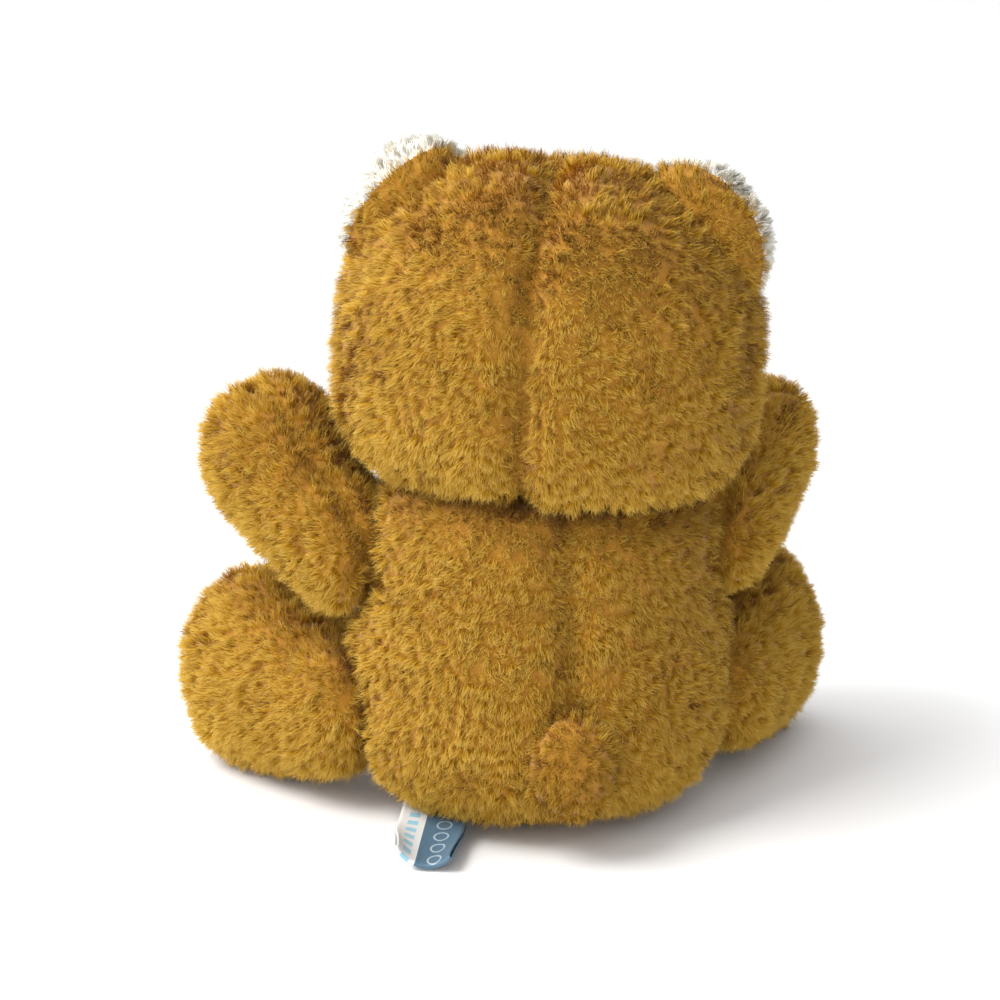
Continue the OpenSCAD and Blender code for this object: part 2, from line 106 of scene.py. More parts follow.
def unit(v):
    return v / np.maximum(np.linalg.norm(v, axis=-1, keepdims=True), 1e-12)


def smooth_step(x, low, high):
    t = np.clip((x - low) / (high - low), 0, 1)
    return t * t * (3 - 2 * t)


def wavy(points, size, seed, terms=7):
    """A smooth vector field with features of that size, about -1 to 1 in each part."""
    rng = np.random.default_rng(seed)
    waves = rng.normal(size=(terms, 3, 3)) / size * 2.2
    phases = rng.uniform(0, 2 * math.pi, (terms, 3))
    total = sum(np.sin(points @ w.T + p) for w, p in zip(waves, phases))
    return total / math.sqrt(terms) * 0.9


def new_object(name, mesh):
    made = bpy.data.objects.new(name, mesh)
    scene.collection.objects.link(made)
    return made


def mesh_from(name, points, faces):
    mesh = bpy.data.meshes.new(name)
    mesh.from_pydata([tuple(p) for p in points], [], [tuple(f) for f in faces])
    mesh.update()
    return mesh


def coordinates(mesh):
    co = np.empty(len(mesh.vertices) * 3, np.float32)
    mesh.vertices.foreach_get("co", co)
    return co.reshape(-1, 3).astype(float)


def vertex_normals(mesh):
    n = np.empty(len(mesh.vertices) * 3, np.float32)
    mesh.vertices.foreach_get("normal", n)
    return n.reshape(-1, 3).astype(float)


def set_coordinates(mesh, points):
    mesh.vertices.foreach_set("co", points.astype(np.float32).ravel())
    mesh.update()


def evaluated(obj):
    """A copy of the object's mesh with its modifiers in it."""
    graph = bpy.context.evaluated_depsgraph_get()
    return bpy.data.meshes.new_from_object(obj.evaluated_get(graph), depsgraph=graph)


def settle(obj):
    """Puts the object's modifiers into its mesh."""
    mesh = evaluated(obj)
    obj.modifiers.clear()
    obj.data = mesh
    return obj


def keep_largest_island(mesh):
    bm = bmesh.new()
    bm.from_mesh(mesh)
    left, islands = set(bm.verts), []
    while left:
        todo, island = [left.pop()], []
        while todo:
            v = todo.pop()
            island.append(v)
            for e in v.link_edges:
                other = e.other_vert(v)
                if other in left:
                    left.remove(other)
                    todo.append(other)
        islands.append(island)
    islands.sort(key=len)
    for island in islands[:-1]:
        bmesh.ops.delete(bm, geom=island, context="VERTS")
    bm.to_mesh(mesh)
    bm.free()


# ------------------------------------------------------------------ materials

def material(name):
    made = bpy.data.materials.new(name)
    made.use_nodes = True
    tree = made.node_tree
    shader = tree.nodes["Principled BSDF"]
    return made, tree, shader


def add(tree, kind, **values):
    node = tree.nodes.new(kind)
    for key, value in values.items():
        if key in node.inputs:
            node.inputs[key].default_value = value
        else:
            setattr(node, key, value)
    return node


def ramp(tree, stops, factor):
    node = tree.nodes.new("ShaderNodeValToRGB")
    elements = node.color_ramp.elements
    while len(elements) < len(stops):
        elements.new(0.5)
    for element, (at, colour) in zip(elements, stops):
        element.position = at
        element.color = (*colour, 1)
    tree.links.new(factor, node.inputs["Fac"])
    return node.outputs["Color"]


def bump(tree, shader, height, strength, distance):
    node = add(tree, "ShaderNodeBump", Strength=strength, Distance=distance)
    tree.links.new(height, node.inputs["Height"])
    tree.links.new(node.outputs["Normal"], shader.inputs["Normal"])


def object_point(tree):
    return add(tree, "ShaderNodeTexCoord").outputs["Object"]


def noise(tree, scale, detail=4.0, roughness=0.6):
    node = add(tree, "ShaderNodeTexNoise", Scale=scale, Detail=detail, Roughness=roughness)
    tree.links.new(object_point(tree), node.inputs["Vector"])
    return node.outputs["Fac"]


def pile_material(name, along, tint_and_painted_shade_stops, sheen):
    """Pile: its colour runs from root to tip (v), and each clump has its own tint (u)."""
    # the tint (u) is each clump's own random tone, lowered as painted shade in seams and beside
    # what turns or is sewn on; the darker root (v) is painted shade too
    made, tree, shader = material(name)
    uv = add(tree, "ShaderNodeUVMap", uv_map="OFBake").outputs["UV"]
    split = add(tree, "ShaderNodeSeparateXYZ")
    tree.links.new(uv, split.inputs["Vector"])
    length_colour = ramp(tree, along, split.outputs["Y"])
    tint_and_painted_shade = ramp(tree, tint_and_painted_shade_stops, split.outputs["X"])
    mix = add(tree, "ShaderNodeMix", data_type="RGBA", blend_type="MULTIPLY")
    mix.inputs[0].default_value = 1.0
    tree.links.new(length_colour, mix.inputs[6])
    tree.links.new(tint_and_painted_shade, mix.inputs[7])
    tree.links.new(mix.outputs[2], shader.inputs["Base Color"])
    shader.inputs["Roughness"].default_value = 0.9
    shader.inputs["Specular IOR Level"].default_value = 0.08
    shader.inputs["Sheen Weight"].default_value = sheen
    shader.inputs["Sheen Roughness"].default_value = 0.45
    shader.inputs["Sheen Tint"].default_value = (1.0, 0.86, 0.6, 1)
    return made


def mottled(name, dark, light, scale, rough, depth, kind="fabric"):
    """A surface whose colour and relief both come from fine noise."""
    made, tree, shader = material(name)
    fac = noise(tree, scale)
    tree.links.new(ramp(tree, [(0.3, dark), (0.7, light)], fac), shader.inputs["Base Color"])
    bump(tree, shader, noise(tree, scale * 2.5), 0.6, depth)
    shader.inputs["Roughness"].default_value = rough
    if kind == "fabric":
        shader.inputs["Sheen Weight"].default_value = 0.3
    return made


# The pile's colour runs from root to tip. It is its own golden colour, darkened at the root as
# painted shade deep in the pile, and paler at the tip, partly its own colour and partly a painted
# highlight.
GOLD_ROOT = (0.35, 0.15, 0.004)
GOLD_BODY = (0.50, 0.255, 0.010)
GOLD_TIP = (0.76, 0.53, 0.13)
golden_pile = pile_material(
    "golden_pile",
    [(0.0, GOLD_ROOT), (0.45, GOLD_BODY), (1.0, GOLD_TIP)],
    [(0.0, (0.60, 0.52, 0.38)), (0.35, (0.86, 0.82, 0.73)), (1.0, (1.0, 1.0, 1.0))],
    0.06,
)
# the cream pile is likewise darker at the root, as painted shade deep in the pile
cream_pile = pile_material(
    "cream_pile",
    [(0.0, (0.88, 0.85, 0.75)), (0.5, (0.93, 0.91, 0.84)), (1.0, (0.96, 0.955, 0.92))],
    [(0.0, (0.93, 0.92, 0.89)), (1.0, (1.0, 1.0, 1.0))],
    0.2,
)
golden_cloth = mottled(
    "golden_cloth", (0.36, 0.16, 0.006), (0.46, 0.215, 0.012), 900, 0.9, 0.0004
)
cream_cloth = mottled(
    "cream_cloth", (0.86, 0.83, 0.73), (0.93, 0.91, 0.84), 900, 0.9, 0.0003
)


def hard(name, dark, light, scale, rough, coat=0.0, metal=0.0, depth=0.00002):
    """Moulded plastic or metal: nearly even in colour, with a faint grain."""
    made, tree, shader = material(name)
    fac = noise(tree, scale, 3.0)
    tree.links.new(ramp(tree, [(0.35, dark), (0.65, light)], fac), shader.inputs["Base Color"])
    bump(tree, shader, noise(tree, scale * 4), 0.3, depth)
    shader.inputs["Roughness"].default_value = rough
    shader.inputs["Metallic"].default_value = metal
    shader.inputs["Coat Weight"].default_value = coat
    shader.inputs["Coat Roughness"].default_value = 0.04
    return made


def stitched(name, dark, light, pitch):
    """Thread laid side by side: fine ridges under a soft shine."""
    made, tree, shader = material(name)
    wave = add(tree, "ShaderNodeTexWave", Scale=pitch, Distortion=1.5, Detail=2.0)
    wave.bands_direction = "DIAGONAL"
    tree.links.new(object_point(tree), wave.inputs["Vector"])
    colour = ramp(tree, [(0.2, dark), (0.8, light)], wave.outputs["Fac"])
    tree.links.new(colour, shader.inputs["Base Color"])
    bump(tree, shader, wave.outputs["Fac"], 0.8, 0.0003)
    shader.inputs["Roughness"].default_value = 0.6
    shader.inputs["Sheen Weight"].default_value = 0.2
    return made


def dress(finish, *names):
    """Gives CAD nodes that stay as they are a better material."""
    for name in names:
        for slot in nodes[name].material_slots:
            slot.material = finish


def per_joint(ending):
    return [name for name in nodes if name.endswith(ending)]


dress(mottled("filling_fibre", (0.74, 0.74, 0.72), (0.93, 0.93, 0.91), 260, 0.95, 0.0015),
      *per_joint("_stuffing"))
dress(stitched("bag_weave", (0.70, 0.67, 0.58), (0.86, 0.83, 0.75), 500), "pellet_bag")
dress(hard("joint_plastic", (0.78, 0.78, 0.74), (0.86, 0.86, 0.82), 120, 0.42),
      *[n for n in per_joint("_disc") + per_joint("_washer") if not n.endswith("_lock_washer")],
      "eye_washers")
dress(hard("washer_steel", (0.46, 0.46, 0.47), (0.62, 0.62, 0.63), 300, 0.3, metal=1.0),
      *per_joint("_lock_washer"))
dress(hard("eye_gloss", (0.012, 0.007, 0.004), (0.03, 0.016, 0.008), 90, 0.12, coat=1.0),
      "left_eye", "right_eye")
dress(mottled("nose_flock", (0.018, 0.010, 0.007), (0.055, 0.032, 0.022), 1800, 0.75, 0.0003),
      "nose")
dress(stitched("mouth_thread", (0.02, 0.012, 0.008), (0.09, 0.05, 0.03), 900), "mouth_stitch")


# ------------------------------------------------------------------ skins

NEAR_FLOOR = 3.5 * MM        # below this a skin is pressed flat, and doesn't swell
LOWEST_SKIN = 0.2 * MM


def closed_skin(name, cad_nodes, voxel, inset, smoothing=3):
    """One closed skin round some CAD nodes, a little inside them, ready to swell."""
    skin = new_object(name, mesh_from(name, *joined(cad_nodes)))
    remesh = skin.modifiers.new("Remesh", "REMESH")
    remesh.mode = "VOXEL"
    remesh.voxel_size = voxel
    soften = skin.modifiers.new("Soften", "SMOOTH")
    soften.factor = 0.5
    soften.iterations = smoothing
    settle(skin)
    keep_largest_island(skin.data)
    points = coordinates(skin.data) - vertex_normals(skin.data) * inset
    set_coordinates(skin.data, points)
    return skin


def held_at_seams(skin, panels, seam, neighbours=None, clear=2.5 * MM):
    """How firmly each vertex is held: 1 on a seam between panels or beside a neighbour."""
    points = coordinates(skin.data)
    gaps = np.sort([distances(points, tree_of([p])) for p in panels], axis=0)
    hold = np.zeros(len(points))
    if len(panels) > 1:
        hold = 1 - smooth_step(gaps[1] - gaps[0], seam * 0.4, seam * 1.6)
    if neighbours:
        near = distances(points, tree_of(neighbours))
        hold = np.maximum(hold, 1 - smooth_step(near, clear * 0.5, clear * 2))
    hold[points[:, 2] < NEAR_FLOOR] = 1.0
    return hold


CLOTH_FRAMES = 20
PRESSURE = 400
EASE = 0.1                   # how much larger than its skin the cloth is cut
BILLOW = 0.6                 # the share of its travel that a skin may billow in the simulation
LOFT = 0.5                   # the share that the backing of the pile adds, right up to a seam


def swell(skins):
    """Blows up each skin, given with how it is held and how far a point may travel."""
    before = [coordinates(skin.data) for skin, _, _ in skins]
    for skin, hold, _ in skins:
        group = skin.vertex_groups.new(name="held")
        for i, weight in enumerate(hold):
            group.add([i], float(weight), "REPLACE")
        cloth = skin.modifiers.new("Cloth", "CLOTH")
        cloth.settings.quality = 4
        cloth.settings.mass = 0.3
        cloth.settings.vertex_group_mass = "held"
        cloth.settings.use_pressure = True
        cloth.settings.uniform_pressure_force = PRESSURE
        cloth.settings.shrink_min = -EASE
        cloth.settings.effector_weights.gravity = 0
        cloth.collision_settings.use_collision = False
        cloth.point_cache.frame_end = CLOTH_FRAMES
    for number in range(1, CLOTH_FRAMES + 1):
        scene.frame_set(number)
    for (skin, hold, travel), start in zip(skins, before):
        settle(skin)
        moved = coordinates(skin.data) - start
        length = np.linalg.norm(moved, axis=1, keepdims=True)
        furthest = ((1 - hold) * travel)[:, None]
        moved *= np.minimum(1, furthest * BILLOW / np.maximum(length, 1e-9))
        loft = vertex_normals(skin.data) * furthest * LOFT
        set_coordinates(skin.data, start + moved + loft)
        skin.vertex_groups.clear()
    scene.frame_set(1)
    for skin, _, _ in skins:
        smooth = skin.modifiers.new("Even", "SMOOTH")
        smooth.factor = 0.4
        smooth.iterations = 1
        fine = skin.modifiers.new("Fine", "SUBSURF")
        fine.levels = fine.render_levels = 1
        settle(skin)
        points = coordinates(skin.data)
        points[:, 2] = np.maximum(points[:, 2], LOWEST_SKIN)
        set_coordinates(skin.data, points)
        skin.data.shade_smooth()


def finish_skin(skin, body, cad_nodes, cloth):
    skin.data.materials.clear()
    skin.data.materials.append(cloth)
    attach(skin, body)
    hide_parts(*cad_nodes)


# ------------------------------------------------------------------ pile

def scatter(mesh, spacing, seed):
    """Points spread evenly over a mesh, with the mesh's smooth normal at each."""
    rng = np.random.default_rng(seed)
    mesh.calc_loop_triangles()
    tris = np.empty(len(mesh.loop_triangles) * 3, np.int32)
    mesh.loop_triangles.foreach_get("vertices", tris)
    tris = tris.reshape(-1, 3)
    points, normals = coordinates(mesh), vertex_normals(mesh)
    a, b, c = points[tris[:, 0]], points[tris[:, 1]], points[tris[:, 2]]
    area = np.linalg.norm(np.cross(b - a, c - a), axis=1) / 2
    count = int(area.sum() / spacing**2 * 8)
    pick = rng.choice(len(tris), count, p=area / area.sum())
    u, v = rng.random((2, count))
    flip = u + v > 1
    u[flip], v[flip] = 1 - u[flip], 1 - v[flip]
    share = np.stack([1 - u - v, u, v])[:, :, None]
    corners = tris[pick].T
    place = sum(s * points[i] for s, i in zip(share, corners))
    normal = unit(sum(s * normals[i] for s, i in zip(share, corners)))
    cell = np.floor(place / (spacing * 1.22)).astype(np.int64)
    key = (cell[:, 0] * 73856093) ^ (cell[:, 1] * 19349663) ^ (cell[:, 2] * 83492791)
    _, first = np.unique(key, return_index=True)
    first.sort()
    return place[first], normal[first]


STEPS = np.array([0.0, 0.4, 0.75, 1.0])      # where a strand's rings lie along it
TAPER = np.array([1.0, 0.85, 0.55, 0.0])     # its width there, as a share
ELBOW_ALONG = 0.28           # where a strand bends over, as a share of its length
ELBOW_RISE = 0.4             # how steeply it stands up before that
SHORTEST, LONGEST = 0.72, 1.1                # in a clump, as shares of its reach
THINNEST, THICKEST = 0.7, 1.25               # as shares of a strand's usual width
FACE_UP = 0.35               # how much the flat of a strand turns to the light above
FACE_TWIST = 0.12            # and how much it varies
FACE_SHOWS = 0.5             # how much of its own face its shading has, not the skin's
ROUNDING = 0.2               # how far its shading wraps round its edges
STRAND_POINTS = 7            # two on each ring, and one at the tip
STRAND_CORNERS = 11          # of two four-sided faces and one triangle
LOWEST_STRAND = 0.4 * MM
TINT_OF_PATCHES = 0.16       # how much the pile's tint varies over a part,
TINT_OF_CLUMPS = 0.12        # from clump to clump,
TINT_OF_STRANDS = 0.07       # and from strand to strand


def strands(name, clumps, normals, tips, tint_and_painted_shade, style, seed):
    """A mesh of tapered strands, gathered in clumps that each come to a tip."""
    rng = np.random.default_rng(seed)
    per = style["per_clump"]
    count = len(clumps) * per
    place, normal = np.repeat(clumps, per, 0), np.repeat(normals, per, 0)
    goal, shade = np.repeat(tips, per, 0), np.repeat(tint_and_painted_shade, per)
    side_a = unit(np.cross(normal, [0.31, 0.52, 0.79]))
    side_b = np.cross(normal, side_a)
    angle = rng.uniform(0, 2 * math.pi, count)
    radius = style["radius"] * np.sqrt(rng.random(count))
    spread = side_a * (radius * np.cos(angle))[:, None] + side_b * (radius * np.sin(angle))[:, None]
    root = place + spread - normal * style["sunk"]
    reach = rng.uniform(SHORTEST, LONGEST, (count, 1))
    stray = rng.normal(size=(count, 3)) * style["stray"]
    tip = root + (goal + spread * style["open"] + stray - root) * reach
    rise = np.sum((tip - root) * normal, axis=1, keepdims=True)
    elbow = root + (tip - root) * ELBOW_ALONG + normal * rise * ELBOW_RISE
    elbow = elbow + rng.normal(size=(count, 3)) * style["kink"]
    t = STEPS[None, :, None]
    line = ((1 - t) ** 2 * root[:, None] + 2 * t * (1 - t) * elbow[:, None] + t**2 * tip[:, None])
    facing = unit(normal - DOWN * FACE_UP + rng.normal(size=(count, 3)) * FACE_TWIST)
    across = unit(np.cross(tip - root, facing))
    width = style["width"] * rng.uniform(THINNEST, THICKEST, (count, 1))
    half = (width * TAPER[None, :])[:, :, None] * across[:, None] / 2
    left, right = line - half, line + half
    points = np.stack([left[:, 0], right[:, 0], left[:, 1], right[:, 1],
                       left[:, 2], right[:, 2], line[:, 3]], 1)
    points[:, :, 2] = np.maximum(points[:, :, 2], LOWEST_STRAND)
    front = unit(np.cross(across, tip - root))
    soft = unit(normal + front * FACE_SHOWS)
    turned = [soft - across * ROUNDING, soft + across * ROUNDING]
    shading = unit(np.stack([turned[0], turned[1]] * 3 + [soft], 1))
    first = (np.arange(count) * STRAND_POINTS)[:, None]
    corners = (first + np.array([0, 1, 3, 2, 2, 3, 5, 4, 4, 5, 6])).ravel()
    starts = (np.arange(count) * STRAND_CORNERS)[:, None] + np.array([0, 4, 8])
    mesh = bpy.data.meshes.new(name)
    mesh.vertices.add(count * STRAND_POINTS)
    mesh.vertices.foreach_set("co", points.astype(np.float32).ravel())
    mesh.loops.add(len(corners))
    mesh.loops.foreach_set("vertex_index", corners.astype(np.int32))
    mesh.polygons.add(count * 3)
    mesh.polygons.foreach_set("loop_start", starts.astype(np.int32).ravel())
    mesh.update(calc_edges=True)
    shade = np.clip(shade + rng.normal(size=count) * TINT_OF_STRANDS, 0.01, 0.99)
    along = STEPS[[0, 0, 1, 1, 2, 2, 3]]
    uv = np.stack([np.repeat(shade, STRAND_POINTS), np.tile(along, count) * 0.98 + 0.01], 1)
    layer = mesh.uv_layers.new(name="OFBake")
    layer.data.foreach_set("uv", uv[corners].astype(np.float32).ravel())
    attribute = mesh.attributes.new("custom_normal", "FLOAT_VECTOR", "POINT")
    attribute.data.foreach_set("vector", shading.astype(np.float32).ravel())
    mesh.update()
    return new_object(name, mesh)


PILE = {
    "per_clump": 18,
    "spacing": 1.75 * MM,
    "radius": 1.35 * MM,
    "sunk": 0.6 * MM,
    "stray": 0.6 * MM,
    "open": 0.5,
    "kink": 0.6 * MM,
    "width": 0.17 * MM,
    "height": 3.0 * MM,
    "lean": 1.7 * MM,
    "swirl": 0.5,
    "curl": 0.65,
    "scatter": 0.5,
    "lumps": 0.25,
    "tone": 0.62,
    # how much a seam's crease shortens the pile, and how much painted shade darkens it there
    "crease": 0.2,
}
# the head's seams have deeper creases, with more painted shade in them
CREASED_PILE = {**PILE, "crease": 0.6}
BOB_PILE = {**PILE, "height": 2.4 * MM, "lean": 1.3 * MM, "tone": 0.25}
SHORT_PILE = {
    **PILE,
    "per_clump": 10,
    "spacing": 1.5 * MM,
    "radius": 1.15 * MM,
    "sunk": 0.5 * MM,
    "stray": 0.3 * MM,
    "kink": 0.2 * MM,
    "width": 0.2 * MM,
    "height": 1.9 * MM,
    "lean": 1.4 * MM,
}
EAR_PILE = {**BOB_PILE, "tone": 0.55}
LINING_PILE = {
    **SHORT_PILE,
    "per_clump": 22,
    "width": 0.25 * MM,
    "height": 2.6 * MM,
    "lean": 1.6 * MM,
}
MOST_CLUMPS = 2200           # in one piece of pile
CLEAR_OF_TURNING = 0.6 * MM  # no pile nearer than this to what turns against it
CLEAR_OF_SEWN = 0.7 * MM
CLEAR_OF_BARE = 1.4 * MM
SEWN_CROWDING = 2.5 * MM     # pile by something sewn on is as if this far from what turns
CROWDED_LENGTH = 0.8         # the share of its length that pile keeps in the tightest spots
SEAM_LINE, SEAM_REACH = 0.3 * MM, 3.6 * MM   # a seam flattens pile to here, and ends here
SAT_ON = 3 * MM              # the pile that the bear sits on is below this
SAT_ON_LOST = 0.6            # and this share of it is left out


def grow(skin, panels, body, comb, style, finish, seed, beside=(), sewn=(), bare=(),
         only=None, favour=None):
    """Grows pile on a skin, one piece (or more) for each panel that it stands for.

    It is shortened beside what turns against the skin and where something is sewn on, and
    left off bare spots. favour pushes the line between the first panel and the others back."""
    place, normal = scatter(skin.data, style["spacing"], seed)
    rng = np.random.default_rng(seed + 1)
    crowd = np.full(len(place), FAR)
    keep = np.ones(len(place), bool)
    if beside:
        crowd = distances(place, tree_of(beside))
        keep &= crowd > CLEAR_OF_TURNING
    if sewn:
        gap = distances(place, tree_of(sewn))
        keep &= gap > CLEAR_OF_SEWN
        crowd = np.minimum(crowd, SEWN_CROWDING + gap)
    if bare:
        keep &= distances(place, tree_of(bare), 10 * MM) > CLEAR_OF_BARE
    underneath = (normal[:, 2] < -0.8) & (place[:, 2] < SAT_ON)
    keep &= ~(underneath & (rng.random(len(place)) < SAT_ON_LOST))
    place, normal, crowd = place[keep], normal[keep], crowd[keep]
    gaps = np.array([distances(place, tree_of([p])) for p in panels])
    if favour:
        gaps[0] += favour(place)
    nearest = np.argmin(gaps, axis=0)
    seam = np.full(len(place), FAR)
    if len(panels) > 1:
        two = np.sort(gaps, axis=0)
        seam = two[1] - two[0]
    room = CROWDED_LENGTH + (1 - CROWDED_LENGTH) * smooth_step(crowd, 1 * MM, 5 * MM)
    at_seam = 1 - smooth_step(seam, SEAM_LINE, SEAM_REACH)
    size = room * (1 - 0.8 * style["crease"] * at_seam) * rng.uniform(0.85, 1.15, len(place))
    size *= 1 + wavy(place, 4.5 * MM, seed + 4)[:, 0] * style["lumps"]
    flow = unit(comb(place, normal)) + wavy(place, 11 * MM, seed + 2) * style["swirl"]
    flow += wavy(place, 4 * MM, seed + 5) * style["curl"]
    flow += rng.normal(size=flow.shape) * style["scatter"]
    flow -= normal * np.sum(flow * normal, axis=1, keepdims=True)
    away = flow / np.maximum(np.linalg.norm(flow, axis=1, keepdims=True), 0.6)
    tips = place + (normal * style["height"] + away * style["lean"]) * size[:, None]
    tint_and_painted_shade = style["tone"] + wavy(place, 16 * MM, seed + 3)[:, 0] * TINT_OF_PATCHES
    tint_and_painted_shade += rng.normal(size=len(place)) * TINT_OF_CLUMPS
    # painted shade: clumps are darker in a seam's crease, and where they crowd beside what turns
    # against the skin or is sewn on
    tint_and_painted_shade -= at_seam * style["crease"] + (1 - room) * 0.3
    made = []
    for number, panel in enumerate(panels):
        mine = np.flatnonzero(nearest == number)
        if len(mine) == 0 or only not in (None, panel):
            continue
        parts = math.ceil(len(mine) / MOST_CLUMPS)
        mine = mine[np.argsort(place[mine, 2], kind="stable")]
        for part, chosen in enumerate(np.array_split(mine, parts)):
            name = f"{panel}_pile" + (f"_{part + 1}" if parts > 1 else "")
            pile = strands(name, place[chosen], normal[chosen], tips[chosen],
                           tint_and_painted_shade[chosen], style, seed + 10 * number + part)
            pile.data.materials.append(finish)
            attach(pile, body)
            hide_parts(panel)
            made.append(pile)
    return made


def middle(name):
    low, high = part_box(name)
    return np.array((low + high) / 2)


torso = closed_skin("torso_skin", TORSO_PANELS + ["body_stuffing", "pellet_bag", "neck_washer"],
                    3.2 * MM, 1.5 * MM)
head = closed_skin("head_skin", HEAD_PANELS + ["head_stuffing", "neck_disc"], 3.0 * MM, 1.5 * MM)
limb_nodes = {}
skins = {"torso": torso, "head": head}
jobs = []
# for each skin, the panels of the bodies that turn beside it
others = {
    "torso": list(HEAD_PANELS),
    "head": ["body_back_left", "body_back_right", "body_front"],
}
for side in ("left", "right"):
    for limb, inner in (("arm", "shoulder_disc"), ("leg", "hip_disc")):
        key = f"{side}_{limb}"
        panels = [f"{key}_inner", f"{key}_outer"]
        others["torso"] += panels
        others["head"] += panels if limb == "arm" else []
        others[key] = list(TORSO_PANELS)
        skins[key] = closed_skin(f"{key}_skin", panels + [f"{key}_stuffing", f"{side}_{inner}"],
                                 2.5 * MM, 1.3 * MM)
        limb_nodes[key] = panels
for side in ("left", "right"):
    others[f"{side}_arm"] += limb_nodes[f"{side}_leg"] + HEAD_PANELS

# what swells: the skin, how firmly each point is held, and how far it may travel
jobs.append((torso, held_at_seams(torso, TORSO_PANELS, 1.5 * MM, others["torso"]), 4.2 * MM))
jobs.append((head, held_at_seams(head, HEAD_PANELS, 2.5 * MM, others["head"]), 4.5 * MM))
for key, panels in limb_nodes.items():
    jobs.append((skins[key], held_at_seams(skins[key], panels, 1.0 * MM, others[key]), 3.6 * MM))

for side in ("left", "right"):
    ear = closed_skin(f"{side}_ear_skin", [f"{side}_ear_back", f"{side}_ear_lining"],
                      1.6 * MM, 0.8 * MM, 2)
    skins[f"{side}_ear"] = ear
    hold = held_at_seams(ear, [f"{side}_ear_back"], 1 * MM, HEAD_PANELS, 2 * MM)
    jobs.append((ear, hold, 1.5 * MM))
    for name, tag in ((f"{side}_paw_pad", "arm"), (f"{side}_foot_sole", "leg")):
        pad = closed_skin(f"{name}_skin", [name], 1.2 * MM, 0.1 * MM, 1)
        skins[name] = pad
        limb_panels = limb_nodes[f"{side}_{tag}"]
        jobs.append((pad, held_at_seams(pad, [name], 1 * MM, limb_panels, 1.0 * MM), 1.8 * MM))
muzzle = closed_skin("muzzle_skin", ["muzzle"], 1.8 * MM, 0.6 * MM, 2)
tail = closed_skin("tail_skin", ["tail"], 2.2 * MM, 0.8 * MM, 2)
jobs.append((muzzle, held_at_seams(muzzle, ["muzzle"], 1 * MM, ["face_panel"], 1.5 * MM), 1.0 * MM))
jobs.append((tail, held_at_seams(tail, ["tail"], 1 * MM, TORSO_PANELS, 1.5 * MM), 1.5 * MM))
swell(jobs)

finish_skin(torso, "torso", TORSO_PANELS, golden_cloth)
finish_skin(head, "head", HEAD_PANELS, golden_cloth)
finish_skin(muzzle, "head", ["muzzle"], cream_cloth)
finish_skin(tail, "torso", ["tail"], golden_cloth)
for side in ("left", "right"):
    for limb in ("arm", "leg"):
        key = f"{side}_{limb}"
        finish_skin(skins[key], key, limb_nodes[key], golden_cloth)
    finish_skin(skins[f"{side}_ear"], "head", [f"{side}_ear_back", f"{side}_ear_lining"],
                golden_cloth)
    finish_skin(skins[f"{side}_paw_pad"], f"{side}_arm", [f"{side}_paw_pad"],
                cream_cloth)
    finish_skin(skins[f"{side}_foot_sole"], f"{side}_leg", [f"{side}_foot_sole"],
                cream_cloth)

# the way the pile is combed on each part

HEAD_LEFT = unit(middle("head_back_left") - middle("head_back_right"))


def down_and_out(centre, left, out):
    """Down, and away from the centre seam."""
    def comb(place, normal):
        across = (place - centre) @ left
        return DOWN + np.sign(across)[:, None] * left * out
    return comb


def along(start, end, down):
    """From one point towards another, and a little down."""
    way = unit(np.array(end) - np.array(start))

    def comb(place, normal):
        return np.broadcast_to(way + DOWN * down, place.shape)
    return comb


def spreading(centre, down):
    """Away from one point, and a little down."""
    def comb(place, normal):
        return unit(place - centre) + DOWN * down
    return comb


grow(torso, TORSO_PANELS, "torso", down_and_out(NECK, np.array([1.0, 0, 0]), 0.25), PILE,
     golden_pile, 100, others["torso"], ["tail"], ["label_loop"])
ear_nodes = [f"{s}_ear_{k}" for s in ("left", "right") for k in ("back", "lining")]
grow(head, HEAD_PANELS, "head", down_and_out(NECK, HEAD_LEFT, 0.5), CREASED_PILE,
     golden_pile, 200, others["head"], ear_nodes + ["muzzle"],
     ["left_eye", "right_eye"])
grow(tail, ["tail"], "torso", spreading(middle("tail"), 0.6), BOB_PILE,
     golden_pile, 300, (), TORSO_PANELS)
grow(muzzle, ["muzzle"], "head", along(middle("nose"), middle("head_stuffing"), 0.3), SHORT_PILE,
     cream_pile, 320, (), ["face_panel"], ["nose", "mouth_stitch"])
for number, (key, panels) in enumerate(limb_nodes.items()):
    side, limb = key.split("_")
    end = f"{side}_paw_pad" if limb == "arm" else f"{side}_foot_sole"
    start = f"{side}_shoulder_disc" if limb == "arm" else f"{side}_hip_disc"
    style = {**PILE, "height": 3.3 * MM}
    grow(skins[key], panels, key, along(middle(start), middle(end), 0.5), style, golden_pile,
         400 + 20 * number, others[key], [end])
    grow(skins[end], [end], key, along(middle(start), middle(end), 1.0), SHORT_PILE, cream_pile,
         600 + 20 * number, (), panels)

# an ear's pale lining is puffy, and shows past its golden back: more on the left ear
EAR_OVERLAP = {"left": 0.9, "right": 0.35}


def line_with(skin, panels, cloth, favour):
    """Gives a second cloth to the faces of a skin that stand for the second panel."""
    centres = np.array([face.center for face in skin.data.polygons])
    gaps = [distances(centres, tree_of([panel])) for panel in panels]
    skin.data.materials.append(cloth)
    lined = (gaps[0] + favour(centres) > gaps[1]).astype(np.int32)
    skin.data.polygons.foreach_set("material_index", lined)


